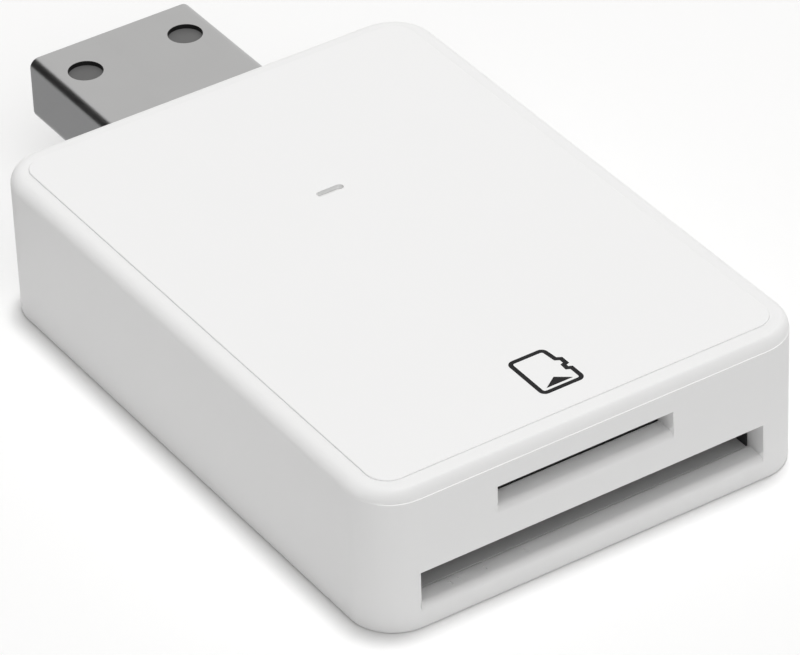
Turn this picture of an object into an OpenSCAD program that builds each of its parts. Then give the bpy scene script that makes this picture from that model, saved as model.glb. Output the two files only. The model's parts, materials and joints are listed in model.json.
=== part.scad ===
// Reader for SD and microSD cards in a flat case, with a plug of USB type A on its rear end.
// The slots look along -Y, the plug points along +Y and +Z is up.
// The origin lies under the middle of the whole reader, on the surface that it stands on.

/* [Case] */
// Width of the case
body_w = 30.8; // [30.6:0.1:36]
// Length of the case without the plug
body_l = 43.4; // [42:0.2:52]
// Height of the rim, over which the panel stands a little proud
body_h = 10.2; // [9.9:0.1:13]
// Radius of the upright corners
corner_r = 3.1; // [2.8:0.1:4.4]
// Rounding along the top edge
top_round = 0.85; // [0.6:0.05:1.2]
// Rounding along the bottom edge
bottom_round = 0.2; // [0.1:0.05:0.6]
// How far the flat front stands proud of the rounded rim above it
front_step = 0.15; // [0.05:0.05:0.3]
// Thickness of the side and rear walls
wall_t = 1.5; // [1.4:0.05:1.55]
// Thickness of the front wall, which is the depth of both slot mouths
front_t = 1.6; // [1.3:0.1:1.8]
// Thickness of the floor
floor_t = 1.4; // [1.1:0.1:1.6]

/* [Top panel] */
// Thickness of the panel let into the rim
panel_t = 1.1; // [0.8:0.1:1.3]
// Distance of the panel's seam from the outside of the case
seam_inset = 1.3; // [1.1:0.05:1.35]
// Radius of the seam's corners
seam_r = 1.5; // [1.2:0.1:1.8]
// Width of the seam
seam_gap = 0.06; // [0.05:0.01:0.12]
// How far the panel stands proud of the rim
panel_proud = 0.08; // [0:0.02:0.2]
// Length of the lamp slot
lamp_slot_l = 1.9; // [1.4:0.1:3]
// Width of the lamp slot
lamp_slot_w = 0.55; // [0.4:0.05:0.8]
// Distance of the lamp slot from the rear end
lamp_from_rear = 15.1; // [14.5:0.05:18]

/* [Card slots] */
// Width of a full size card
sd_card_w = 24; // [23.8:0.1:24.2]
// Thickness of a full size card
sd_card_t = 2.1; // [2:0.05:2.2]
// Room beside the full size card in its mouth, both sides together
sd_mouth_play = 0.4; // [0.3:0.05:0.6]
// Room above the full size card in its mouth
sd_mouth_over = 0.25; // [0.15:0.05:0.35]
// Sideways place of the full size slot
sd_x = -0.2; // [-0.3:0.1:0.3]
// Width of a small card
micro_card_w = 11; // [10.8:0.1:11.2]
// Room beside the small card in its mouth, both sides together
micro_mouth_play = 1.4; // [0.6:0.1:1.6]
// Height of the small card's mouth
micro_mouth_h = 1.5; // [1.1:0.05:1.7]
// Sideways place of the small slot
micro_x = -0.75; // [-2:0.05:1]

/* [Plug] */
// How far the plug stands out of the case
plug_reach = 11.7; // [11.5:0.1:13]
// Width of the plug's shell
plug_w = 12.1; // [11.9:0.05:12.2]
// Height of the plug's shell
plug_h = 4.5; // [4.4:0.05:4.6]
// Thickness of the shell's sheet
plug_sheet = 0.3; // [0.25:0.01:0.35]
// Outer radius of the shell's four bends
plug_bend_r = 0.5; // [0.45:0.05:0.9]
// Radius of the round windows in the shell
window_r = 1.15; // [0.9:0.05:1.3]
// Distance between the centres of the two windows of one side
window_pitch = 7.5; // [6.6:0.1:7.8]
// Distance of the windows' centres from the plug's tip
window_from_tip = 3.3; // [2.5:0.1:6]

/* [Board] */
// Thickness of the circuit board
board_t = 0.8; // [0.6:0.1:0.9]
// Pitch of the full size card's contacts
sd_pitch = 2.5; // [2.3:0.05:2.55]
// Pitch of the small card's contacts
micro_pitch = 1.1; // [1.05:0.01:1.14]

/* [Hidden] */
$fn = 64;

// Overrun of cuts, clearance of fixed pieces, room round moving pieces, gap at a spring's root
overrun = 0.5;
fit = 0.02;
play = 0.15;
root_gap = 0.05;

// Places along the reader
front_y = -(body_l + plug_reach) / 2;
rear_y = front_y + body_l;
tip_y = rear_y + plug_reach;
mid_y = (front_y + rear_y) / 2;
mouth_y = front_y + front_t;
cavity_rear_y = rear_y - wall_t;
cavity_x = body_w / 2 - wall_t;
panel_top = body_h + panel_proud;
panel_z = panel_top - panel_t;
crown_z = body_h - top_round;
lamp_x = -0.1;
lamp_y = rear_y - lamp_from_rear;

// Full size socket, which hangs under the board
sd_sheet = 0.2;
sd_pass_over = 0.4;
sd_ceiling_t = 1;
sd_side_gap = 0.2;
sd_base_l = 25;
sd_stop_l = 3;
sd_lip_step = 0.12;
guide_play = 0.1;
sd_pass_z = floor_t + sd_sheet;
sd_ceiling_z = sd_pass_z + sd_card_t + sd_pass_over;
sd_pass_x = sd_card_w / 2 + guide_play;
sd_base_x = cavity_x - sd_side_gap - sd_sheet - abs(sd_x);
sd_rear_y = mouth_y + sd_base_l;
sd_stop_y = sd_rear_y - sd_stop_l;
sd_mouth_z = sd_pass_z + sd_lip_step;
sd_mouth_w = sd_card_w + sd_mouth_play;
sd_mouth_h = sd_card_t + sd_mouth_over;

// Board, which lies on the full size socket and on two bosses
board_edge_gap = 0.3;
board_z = sd_ceiling_z + sd_ceiling_t;
board_top = board_z + board_t;
board_x = cavity_x - board_edge_gap;
board_front_y = mouth_y + board_edge_gap;
board_rear_y = cavity_rear_y - board_edge_gap;

// Small socket on top of the board
micro_sheet = 0.15;
micro_floor_t = 0.4;
micro_pass_h = 1.1;
micro_rail_t = 1.2;
micro_base_l = 14.5;
micro_stop_l = 4.5;
micro_lip_step = 0.06;
micro_pass_z = board_top + micro_floor_t;
micro_roof_z = micro_pass_z + micro_pass_h;
micro_pass_x = micro_card_w / 2 + guide_play;
micro_base_x = micro_pass_x + micro_rail_t;
micro_rear_y = mouth_y + micro_base_l;
micro_stop_y = micro_rear_y - micro_stop_l;
micro_mouth_z = micro_pass_z + micro_lip_step;
micro_mouth_w = micro_card_w + micro_mouth_play;

// Contacts of the full size socket
sd_contacts = 9;
sd_strip_w = 1.2;
sd_strip_t = 0.15;
sd_arm_l = 6.6;
sd_tip_l = 1;
sd_bump_from_stop = 3.2;
sd_bump_drop = 1.2;
sd_tip_rise = 0.5;
sd_bump_l = 0.5;
sd_clamp_l = 1.8;
sd_foot_l = 1.6;
sd_strip_lift = 0.45;
sd_strip_z = sd_ceiling_z + sd_strip_lift;
sd_bump_y = sd_stop_y - sd_bump_from_stop;
sd_root_y = sd_bump_y - sd_arm_l;
sd_bump_z = sd_ceiling_z - sd_bump_drop;
sd_first_x = sd_x - (sd_contacts - 1) / 2 * sd_pitch;

// Contacts of the small socket
micro_contacts = 8;
micro_strip_w = 0.6;
micro_strip_t = 0.12;
micro_root_from_mouth = 2.4;
micro_tip_l = 0.8;
micro_bump_from_stop = 2.6;
micro_bump_rise = 0.3;
micro_tip_drop = 0.14;
micro_bump_l = 0.4;
micro_clamp_l = 1.1;
micro_foot_l = 0.9;
micro_strip_lift = 0.16;
micro_strip_z = board_top + micro_strip_lift;
micro_bump_y = micro_stop_y - micro_bump_from_stop;
micro_root_y = mouth_y + micro_root_from_mouth;
micro_bump_z = micro_pass_z + micro_bump_rise - micro_strip_t / 2;
micro_first_x = micro_x - (micro_contacts - 1) / 2 * micro_pitch;

// Switches: a thin leaf whose bump stands in the card's way, and two posts on the board
leaf_t = 0.12;
post_t = 0.3;
post_w = 0.8;
sd_leaf_h = 1;
sd_leaf_lift = 0.3;
sd_leaf_z = sd_mouth_z + sd_leaf_lift;
sd_detect_l = 5;
sd_detect_tip = 1.8;
sd_detect_bump = 0.4;
sd_detect_back = 0.45;
sd_detect_pocket = 1.5;
sd_detect_aside = 3;
sd_detect_x = sd_x + sd_detect_aside;
sd_protect_l = 5;
sd_protect_tip = 1.4;
sd_protect_bump = 0.35;
sd_protect_back = 0.3;
sd_protect_pocket = 0.95;
sd_protect_post_t = 0.2;
sd_protect_from_stop = 15;
sd_protect_y = sd_stop_y - sd_protect_from_stop;
sd_protect_x = sd_x + sd_pass_x + sd_protect_back;
micro_leaf_h = 0.5;
micro_leaf_lift = 0.1;
micro_leaf_z = micro_mouth_z + micro_leaf_lift;
micro_detect_l = 3;
micro_detect_tip = 1.2;
micro_detect_bump = 0.3;
micro_detect_back = 0.35;
micro_detect_pocket = 1.1;
micro_post_t = 0.25;
micro_detect_aside = 0.8;
micro_detect_x = micro_x + micro_detect_aside;

// Plug
plug_inside = 7.2;
plug_lift = 0.45;
plug_hole_gap = 0.1;
shell_seam = 0.06;
wing_l = 1.2;
wing_reach = 1.6;
wing_from_wall = 4.6;
leg_drop = 0.5;
leg_gap = 0.1;
tongue_t = 1.95;
tongue_from_tip = 0.3;
tongue_side_gap = 0.12;
insulator_set_back = 0.2;
insulator_block_l = 7.4;
blade_w = 1;
blade_t = 0.2;
blade_rear = 1.5;
tail_reach = 2.1;
outer_blade_from_tip = 1.6;
inner_blade_from_tip = 2.6;
outer_blade_x = 3.5;
inner_blade_x = 1;
plug_rear_y = rear_y - plug_inside;
plug_z = board_top - board_t / 2 + plug_lift - plug_h / 2;
plug_ceiling_z = plug_z + plug_h - plug_sheet;
insulator_rear_y = plug_rear_y + insulator_set_back;
insulator_block_y = insulator_rear_y + insulator_block_l;
insulator_x = plug_w / 2 - plug_sheet - fit;
tongue_z = plug_ceiling_z - tongue_t;
wing_y = rear_y - wing_from_wall;
cutout_gap = 0.15;

// Bosses, pegs, panel posts and snap hooks
boss_r = 2;
peg_r = 0.8;
peg_rise = 2.3;
peg_hole_gap = 0.15;
post_r = 1.7;
post_bore_over = 0.3;
boss_in_x = 2.2;
boss_in_y = 3.6;
boss_x = cavity_x - boss_in_x;
boss_y = cavity_rear_y - boss_in_y;
hook_w = 3;
hook_t = 0.8;
hook_drop = 2.1;
hook_catch = 0.35;
hook_catch_h = 0.6;
hook_gap = 0.1;
hook_side_room = 0.2;
hook_recess_t = 0.5;
hook_shares = [-0.3, 0.12];

// Lower, squarer part of the hollow, which holds the full size socket
pocket_r = 0.1;

// Spring tongues slit out of the two covers
brake_l = 6;
brake_w = 1.6;
brake_slit = 0.25;
brake_share = 0.34;
brake_from_stop = 12;
brake_from_mouth = 1.6;
skirt_gap = 0.5;

// Printed pictogram: the middle of its line, with the notched side in shares of its width and length
ink_t = 0.02;
icon_w = 2.8;
icon_l = 3.6;
icon_stroke = 0.29;
icon_from_front = 3.2;
icon_corner = 0.3;
icon_x = lamp_x;
icon_steps = 6;
icon_neck_share = 0.365;
icon_notch_shares = [[0.5, 0.33], [0.41, 0.365], [0.42, 0.47], [0.5, 0.49], [0.5, 0.63], [0.395, 0.68]];
icon_arrow_shares = [[-0.335, 0.1], [0.32, 0.1], [0, 0.285]];

// Fine marks along the floor of the full size mouth, in shares of its width
mark_w = 0.12;
mark_depth = 0.06;
mark_margin = 0.15;
mark_shares = [0.102, 0.126, 0.2, 0.316];

// Light pipe and lamp
pipe_sink = 0.3;
pipe_flange_l = 3.4;
pipe_flange_w = 2;
pipe_flange_t = 0.5;
pipe_stem_l = 1.6;
pipe_stem_w = 0.9;
pipe_lamp_gap = 0.3;
lamp_l = 1.6;
lamp_w = 0.8;
lamp_h = 0.6;
end_cap_l = 0.3;

// Controller and the small parts, placed in shares of the free field behind the small socket
chip_w = 7;
chip_h = 1.4;
chip_lift = 0.1;
chip_leads = 12;
lead_pitch = 0.5;
lead_w = 0.22;
lead_t = 0.12;
lead_reach = 1;
lead_foot = 0.5;
crystal_l = 3.2;
crystal_w = 2.5;
crystal_h = 0.8;
crystal_lid_in = 0.2;
crystal_lid_h = 0.15;
regulator_l = 2.9;
regulator_w = 1.6;
regulator_h = 1.1;
regulator_pitch = 0.95;
regulator_lead_w = 0.4;
regulator_lead_reach = 0.6;
small_l = 1.6;
small_w = 0.8;
capacitor_h = 0.8;
resistor_h = 0.45;
small_cap_over = 0.02;
field_margin = 0.5;
field_l = plug_rear_y - micro_rear_y - 2 * field_margin;
field_y = micro_rear_y + field_margin;
chip_share = [0.27, 0.42];
crystal_share = [-0.3, 0.36];
regulator_share = [-0.34, 0.78];
capacitor_shares = [
    [-0.42, 0.1], [-0.3, 0.1], [-0.18, 0.1], [-0.17, 0.32], [-0.17, 0.45], [-0.45, 0.6], [0.43, 0.88]
];
resistor_shares = [
    [-0.42, 0.22], [-0.42, 0.32], [-0.17, 0.7], [0.02, 0.1], [0.02, 0.22], [0.3, 0.9]
];

// Box between two corners
module span(low, high) {
    translate(low) cube(high - low);
}

// Flat outline with round corners, centred
module outline(w, l, r) {
    square([w - 2 * r, l], center = true);
    square([w, l - 2 * r], center = true);
    for (sx = [-1, 1], sy = [-1, 1])
        translate([sx * (w / 2 - r), sy * (l / 2 - r)]) circle(r);
}

// Slot with round ends, centred
module stadium(l, w) {
    square([l - w, w], center = true);
    for (s = [-1, 1])
        translate([s * (l - w) / 2, 0]) circle(w / 2);
}

// Section through an edge of the soft block, from its corner's axis outwards
module edge_section(reach, height, top, bottom) {
    translate([0, bottom]) square([reach, height - top - bottom]);
    square([reach - bottom, height / 2]);
    translate([0, height / 2]) square([reach - top, height / 2]);
    if (top > 0)
        translate([reach - top, height - top]) circle(top);
    if (bottom > 0)
        translate([reach - bottom, bottom]) circle(bottom);
}

// Block with round upright corners and rounded top and bottom edges
module soft_block(w, l, h, r, top, bottom) {
    translate([r - w / 2, r - l / 2, 0]) cube([w - 2 * r, l - 2 * r, h]);
    for (turn = [0:3]) {
        across = turn % 2 == 0 ? w : l;
        along = turn % 2 == 0 ? l : w;
        rotate(90 * turn) translate([across / 2 - r, along / 2 - r, 0]) {
            rotate_extrude(angle = 90) edge_section(r, h, top, bottom);
            rotate([90, 0, 0]) linear_extrude(along - 2 * r) edge_section(r, h, top, bottom);
        }
    }
}

// Bent strip: a path in the Y and Z plane, w wide along X
module strip_yz(path, t, w) {
    upper = [for (p = path) p + [0, t / 2]];
    lower = [for (i = [len(path) - 1:-1:0]) path[i] - [0, t / 2]];
    rotate([90, 0, 90]) linear_extrude(w, center = true) polygon(concat(upper, lower));
}

// Bent leaf: a path in the X and Y plane, h high
module leaf_xy(path, t, h) {
    far = [for (p = path) p + [0, t / 2]];
    near = [for (i = [len(path) - 1:-1:0]) path[i] - [0, t / 2]];
    linear_extrude(h) polygon(concat(far, near));
}

// Case
module case_outside() {
    rim_l = body_l - front_step;
    overlap = bottom_round;
    translate([0, mid_y, 0]) soft_block(body_w, body_l, crown_z, corner_r, 0, bottom_round);
    translate([0, mid_y + front_step / 2, crown_z - overlap])
        soft_block(body_w, rim_l, top_round + overlap, corner_r, top_round, 0);
}

module case_hollow() {
    seat_l = body_l - 2 * seam_inset;
    hollow_l = cavity_rear_y - mouth_y;
    translate([0, mid_y, panel_z]) linear_extrude(panel_t + overrun)
        outline(body_w - 2 * seam_inset, seat_l, seam_r);
    translate([0, (cavity_rear_y + mouth_y) / 2, floor_t]) {
        linear_extrude(body_h) outline(2 * cavity_x, hollow_l, corner_r - wall_t);
        linear_extrude(board_top + board_edge_gap - floor_t) outline(2 * cavity_x, hollow_l, pocket_r);
    }
}

module mouth_cuts() {
    through = mouth_y + overrun;
    mark_x = sd_x - sd_mouth_w / 2;
    span([mark_x, front_y - overrun, sd_mouth_z],
         [sd_x + sd_mouth_w / 2, through, sd_mouth_z + sd_mouth_h]);
    span([micro_x - micro_mouth_w / 2, front_y - overrun, micro_mouth_z],
         [micro_x + micro_mouth_w / 2, through, micro_mouth_z + micro_mouth_h]);
    for (share = mark_shares)
        translate([mark_x + share * sd_mouth_w, front_y + mark_margin, sd_mouth_z - mark_depth])
            cube([mark_w, front_t - 2 * mark_margin, mark_depth + overrun]);
}

module plug_hole() {
    translate([0, cavity_rear_y - overrun, plug_z + plug_h / 2]) rotate([-90, 0, 0])
        linear_extrude(wall_t + 2 * overrun)
            outline(plug_w + 2 * plug_hole_gap, plug_h + 2 * plug_hole_gap, plug_bend_r + plug_hole_gap);
}

module hook_recesses() {
    catch_z = panel_z - hook_drop + hook_catch_h;
    recess_h = 2 * hook_catch_h + 2 * hook_gap;
    for (side = [-1, 1], share = hook_shares)
        translate([side * (cavity_x + hook_recess_t / 2), mid_y + share * body_l, catch_z])
            cube([hook_recess_t + fit, hook_w + 2 * hook_side_room, recess_h], center = true);
}

module boss() {
    translate([0, 0, floor_t - fit]) cylinder(r = boss_r, h = board_z - floor_t + fit);
    translate([0, 0, board_z - fit]) cylinder(r = peg_r, h = board_t + peg_rise + fit);
}

module case_tub() {
    color("white") {
        difference() {
            case_outside();
            case_hollow();
            mouth_cuts();
            plug_hole();
            hook_recesses();
        }
        for (side = [-1, 1])
            translate([side * boss_x, boss_y, 0]) boss();
    }
}

module panel_hook() {
    reach = hook_t + hook_gap;
    profile = [
        [-reach, fit], [-reach, -hook_drop], [-hook_gap, -hook_drop],
        [hook_catch, -hook_drop + hook_catch_h / 2], [hook_catch, -hook_drop + hook_catch_h],
        [-hook_gap, -hook_drop + hook_catch_h], [-hook_gap, fit]
    ];
    rotate([90, 0, 0]) linear_extrude(hook_w, center = true) polygon(profile);
}

module panel_post() {
    difference() {
        translate([0, 0, board_top]) cylinder(r = post_r, h = panel_z - board_top + fit);
        translate([0, 0, board_top - overrun])
            cylinder(r = peg_r + fit, h = peg_rise + post_bore_over + overrun);
    }
}

module top_panel() {
    seat_gap = seam_inset + seam_gap;
    color("white") {
        difference() {
            translate([0, mid_y, panel_z]) linear_extrude(panel_t)
                outline(body_w - 2 * seat_gap, body_l - 2 * seat_gap, seam_r - seam_gap);
            translate([lamp_x, lamp_y, panel_z - overrun]) linear_extrude(panel_t + 2 * overrun)
                stadium(lamp_slot_l, lamp_slot_w);
        }
        for (side = [-1, 1])
            translate([side * boss_x, boss_y, 0]) panel_post();
        for (share = hook_shares) {
            translate([cavity_x, mid_y + share * body_l, panel_z]) panel_hook();
            mirror([1, 0, 0]) translate([cavity_x, mid_y + share * body_l, panel_z]) panel_hook();
        }
    }
}

// Closed path moved outwards by a distance, where the path turns to the left
function side_normal(a, b) = [b[1] - a[1], a[0] - b[0]] / norm(b - a);
function grown(path, distance) = [
    for (i = [0:len(path) - 1])
        let (before = path[(i + len(path) - 1) % len(path)], after = path[(i + 1) % len(path)],
             n = side_normal(before, path[i]), m = side_normal(path[i], after))
        path[i] + distance * (n + m) / (1 + n * m)
];
function arc(centre, r, from, to) = [
    for (i = [0:icon_steps])
        let (at = from + (to - from) * i / icon_steps)
        centre + r * [cos(at), sin(at)]
];

module card_icon() {
    side = icon_w / 2;
    c = icon_corner;
    line = concat(
        arc([c - side, c], c, 180, 270),
        arc([side - c, c], c, 270, 360),
        [for (p = icon_notch_shares) [p[0] * icon_w, p[1] * icon_l]],
        arc([icon_neck_share * icon_w - c, icon_l - c], c, 0, 90),
        arc([c - side, icon_l - c], c, 90, 180)
    );
    color("dimgray") translate([icon_x, front_y + icon_from_front, panel_top]) linear_extrude(ink_t) {
        difference() {
            polygon(grown(line, icon_stroke / 2));
            polygon(grown(line, -icon_stroke / 2));
        }
        polygon([for (p = icon_arrow_shares) [p[0] * icon_w, p[1] * icon_l]]);
    }
}

module light_pipe() {
    neck_top = panel_top - pipe_sink;
    stem_z = board_top + lamp_h + pipe_lamp_gap;
    flange_z = panel_z - pipe_flange_t;
    color("whitesmoke") translate([lamp_x, lamp_y, 0]) {
        translate([0, 0, flange_z]) linear_extrude(neck_top - flange_z)
            stadium(lamp_slot_l - 2 * fit, lamp_slot_w - 2 * fit);
        translate([0, 0, flange_z]) linear_extrude(pipe_flange_t)
            stadium(pipe_flange_l, pipe_flange_w);
        translate([0, 0, stem_z]) linear_extrude(flange_z - stem_z + fit)
            stadium(pipe_stem_l, pipe_stem_w);
    }
}

// Plug
module along_plug(from, to) {
    translate([0, from, plug_z + plug_h / 2]) rotate([-90, 0, 0]) linear_extrude(to - from) children();
}

module shell_wing() {
    side = plug_w / 2;
    span([side - plug_sheet / 2, wing_y - wing_l / 2, board_top],
         [side + wing_reach, wing_y + wing_l / 2, board_top + plug_sheet]);
    span([side + wing_reach - plug_sheet, wing_y - wing_l / 2, board_z - leg_drop],
         [side + wing_reach, wing_y + wing_l / 2, board_top + plug_sheet]);
}

module usb_shell() {
    color("silver") {
        difference() {
            along_plug(plug_rear_y, tip_y) outline(plug_w, plug_h, plug_bend_r);
            along_plug(plug_rear_y - overrun, tip_y + overrun)
                outline(plug_w - 2 * plug_sheet, plug_h - 2 * plug_sheet, plug_bend_r - plug_sheet);
            for (side = [-1, 1])
                translate([side * window_pitch / 2, tip_y - window_from_tip, plug_z - overrun])
                    cylinder(r = window_r, h = plug_h + 2 * overrun);
            span([-shell_seam / 2, plug_rear_y - overrun, plug_z - overrun],
                 [shell_seam / 2, tip_y + overrun, plug_z + plug_sheet + overrun]);
        }
        shell_wing();
        mirror([1, 0, 0]) shell_wing();
    }
}

module usb_contact(x, from_tip) {
    riser_y = insulator_rear_y + blade_rear;
    low = min(tongue_z, board_top);
    high = max(tongue_z, board_top) + blade_t;
    translate([x - blade_w / 2, 0, 0]) {
        span([0, riser_y, tongue_z], [blade_w, tip_y - from_tip, tongue_z + blade_t]);
        span([0, riser_y, low], [blade_w, riser_y + blade_t, high]);
        span([0, insulator_rear_y - tail_reach, board_top], [blade_w, riser_y, board_top + blade_t]);
    }
}

module usb_contacts() {
    color("gold")
        for (side = [-1, 1]) {
            usb_contact(side * outer_blade_x, outer_blade_from_tip);
            usb_contact(side * inner_blade_x, inner_blade_from_tip);
        }
}

module usb_insulator() {
    height = plug_h - 2 * plug_sheet - 2 * fit;
    color("gainsboro") difference() {
        union() {
            along_plug(insulator_rear_y, insulator_block_y)
                outline(2 * insulator_x, height, plug_bend_r - plug_sheet);
            intersection() {
                along_plug(insulator_rear_y, tip_y - tongue_from_tip)
                    outline(2 * (insulator_x - tongue_side_gap), height, plug_bend_r - plug_sheet);
                span([-plug_w, insulator_rear_y, tongue_z], [plug_w, tip_y, plug_ceiling_z]);
            }
        }
        usb_contacts();
    }
}

// Board
module circuit_board() {
    board_l = board_rear_y - board_front_y;
    leg_x = plug_w / 2 + wing_reach - plug_sheet;
    color("seagreen") difference() {
        translate([0, (board_rear_y + board_front_y) / 2, board_z]) linear_extrude(board_t)
            outline(2 * board_x, board_l, corner_r - wall_t);
        span([-plug_w / 2 - cutout_gap, plug_rear_y - cutout_gap, board_z - overrun],
             [plug_w / 2 + cutout_gap, board_rear_y + overrun, board_top + overrun]);
        for (side = [-1, 1]) {
            translate([side * boss_x, boss_y, board_z - overrun])
                cylinder(r = peg_r + peg_hole_gap, h = board_t + 2 * overrun);
            translate([side * (leg_x + plug_sheet / 2), wing_y, board_z + board_t / 2])
                cube([plug_sheet + 2 * leg_gap, wing_l + 2 * leg_gap, board_t + 2 * overrun], center = true);
        }
    }
}

// Tongue slit free on three sides, for a sheet cover
module brake_slits() {
    translate([-brake_w / 2 - brake_slit, 0, 0]) cube([brake_slit, brake_l, overrun]);
    translate([brake_w / 2, 0, 0]) cube([brake_slit, brake_l, overrun]);
    translate([-brake_w / 2 - brake_slit, brake_l, 0]) cube([brake_w + 2 * brake_slit, brake_slit, overrun]);
}

// Full size socket
module sd_root(x) {
    end_y = sd_root_y - root_gap;
    riser_y = end_y - sd_clamp_l;
    translate([x - sd_strip_w / 2, 0, 0]) {
        span([0, riser_y, sd_strip_z - sd_strip_t / 2], [sd_strip_w, end_y, sd_strip_z + sd_strip_t / 2]);
        span([0, riser_y - sd_strip_t, sd_strip_z - sd_strip_t / 2], [sd_strip_w, riser_y, board_z]);
        span([0, riser_y - sd_strip_t - sd_foot_l, board_z - sd_strip_t], [sd_strip_w, riser_y, board_z]);
    }
}

module sd_contact_roots() {
    color("gold")
        for (i = [0:sd_contacts - 1])
            sd_root(sd_first_x + i * sd_pitch);
}

module sd_contact_arms() {
    low = sd_bump_z + sd_strip_t / 2;
    path = [
        [sd_root_y, sd_strip_z], [sd_bump_y - sd_bump_l / 2, low], [sd_bump_y + sd_bump_l / 2, low],
        [sd_bump_y + sd_tip_l, low + sd_tip_rise]
    ];
    color("gold")
        for (i = [0:sd_contacts - 1])
            translate([sd_first_x + i * sd_pitch, 0, 0]) strip_yz(path, sd_strip_t, sd_strip_w);
}

// Leaf along X from its root, with a pointed bump towards -Y
module switch_leaf(l, tip, bump, back, h) {
    rise = bump + back - leaf_t / 2;
    leaf_xy([[0, 0], [l - rise, 0], [l, -rise], [l + rise, 0], [l + tip, 0]], leaf_t, h);
}

// Root post behind a leaf's root, and the post that its end meets, from low to high
module switch_posts(l, tip, meet, thick, low, high) {
    span([-root_gap - post_w, -thick / 2, low], [-root_gap, thick / 2, high]);
    span([l + tip - post_w, meet, low], [l + tip, meet + thick, high]);
}

module sd_detect_leaf() {
    color("gold") translate([sd_detect_x, sd_stop_y + sd_detect_back, sd_leaf_z])
        switch_leaf(sd_detect_l, sd_detect_tip, sd_detect_bump, sd_detect_back, sd_leaf_h);
}

module sd_protect_leaf() {
    color("gold") translate([sd_protect_x, sd_protect_y, sd_leaf_z]) rotate(90) mirror([0, 1, 0])
        switch_leaf(sd_protect_l, sd_protect_tip, sd_protect_bump, sd_protect_back, sd_leaf_h);
}

module sd_switch_posts() {
    color("gold") {
        translate([sd_detect_x, sd_stop_y + sd_detect_back, 0])
            switch_posts(sd_detect_l, sd_detect_tip, sd_detect_pocket - sd_detect_back - post_t, post_t,
                sd_leaf_z, board_z);
        translate([sd_protect_x, sd_protect_y, 0]) rotate(90) mirror([0, 1, 0])
            switch_posts(sd_protect_l, sd_protect_tip,
                sd_protect_pocket - sd_protect_back - sd_protect_post_t, sd_protect_post_t,
                sd_leaf_z, board_z);
    }
}

module sd_socket_base() {
    low = sd_leaf_z - play;
    high = sd_leaf_z + sd_leaf_h + play;
    wall_x = sd_x + sd_pass_x;
    color("dimgray") difference() {
        span([sd_x - sd_base_x, mouth_y, sd_pass_z], [sd_x + sd_base_x, sd_rear_y, board_z]);
        span([sd_x - sd_pass_x, mouth_y - overrun, sd_pass_z - overrun], [wall_x, sd_stop_y, sd_ceiling_z]);
        for (i = [0:sd_contacts - 1])
            translate([sd_first_x + i * sd_pitch, 0, 0])
                span([-sd_strip_w / 2 - play, sd_root_y - root_gap, sd_ceiling_z - overrun],
                     [sd_strip_w / 2 + play, sd_bump_y + sd_tip_l + play, board_z + overrun]);
        sd_contact_roots();
        span([sd_detect_x - root_gap - post_w, sd_stop_y - overrun, low],
             [sd_detect_x + sd_detect_l + sd_detect_tip + play, sd_stop_y + sd_detect_pocket, high]);
        span([wall_x - overrun, sd_protect_y - root_gap - post_w, low],
             [wall_x + sd_protect_pocket, sd_protect_y + sd_protect_l + sd_protect_tip + play, high]);
        sd_switch_posts();
    }
}

module sd_socket_cover() {
    outer = sd_base_x + sd_sheet;
    brake_y = sd_stop_y - brake_from_stop;
    color("silver") difference() {
        span([sd_x - outer, mouth_y, floor_t], [sd_x + outer, sd_rear_y, board_z - skirt_gap]);
        span([sd_x - sd_base_x, mouth_y - overrun, sd_pass_z],
             [sd_x + sd_base_x, sd_rear_y + overrun, board_z]);
        for (side = [-1, 1])
            translate([sd_x + side * brake_share * sd_card_w, brake_y, floor_t - overrun / 2]) brake_slits();
    }
}

// Small socket
module micro_root(x) {
    end_y = micro_root_y - root_gap;
    foot_y = end_y - micro_clamp_l;
    low = micro_strip_z - micro_strip_t / 2;
    translate([x - micro_strip_w / 2, 0, 0]) {
        span([0, foot_y, low], [micro_strip_w, end_y, low + micro_strip_t]);
        span([0, foot_y - micro_foot_l, board_top], [micro_strip_w, foot_y + micro_strip_t, micro_strip_z]);
    }
}

module microsd_contact_roots() {
    color("gold")
        for (i = [0:micro_contacts - 1])
            micro_root(micro_first_x + i * micro_pitch);
}

module microsd_contact_arms() {
    path = [
        [micro_root_y, micro_strip_z], [micro_bump_y - micro_bump_l / 2, micro_bump_z],
        [micro_bump_y + micro_bump_l / 2, micro_bump_z],
        [micro_bump_y + micro_tip_l, micro_bump_z - micro_tip_drop]
    ];
    color("gold")
        for (i = [0:micro_contacts - 1])
            translate([micro_first_x + i * micro_pitch, 0, 0]) strip_yz(path, micro_strip_t, micro_strip_w);
}

module microsd_detect_leaf() {
    color("gold") translate([micro_detect_x, micro_stop_y + micro_detect_back, micro_leaf_z])
        switch_leaf(micro_detect_l, micro_detect_tip, micro_detect_bump, micro_detect_back, micro_leaf_h);
}

module microsd_switch_posts() {
    color("gold") translate([micro_detect_x, micro_stop_y + micro_detect_back, 0])
        switch_posts(micro_detect_l, micro_detect_tip, micro_detect_pocket - micro_detect_back - micro_post_t,
            micro_post_t, board_top, micro_leaf_z + micro_leaf_h);
}

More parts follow.
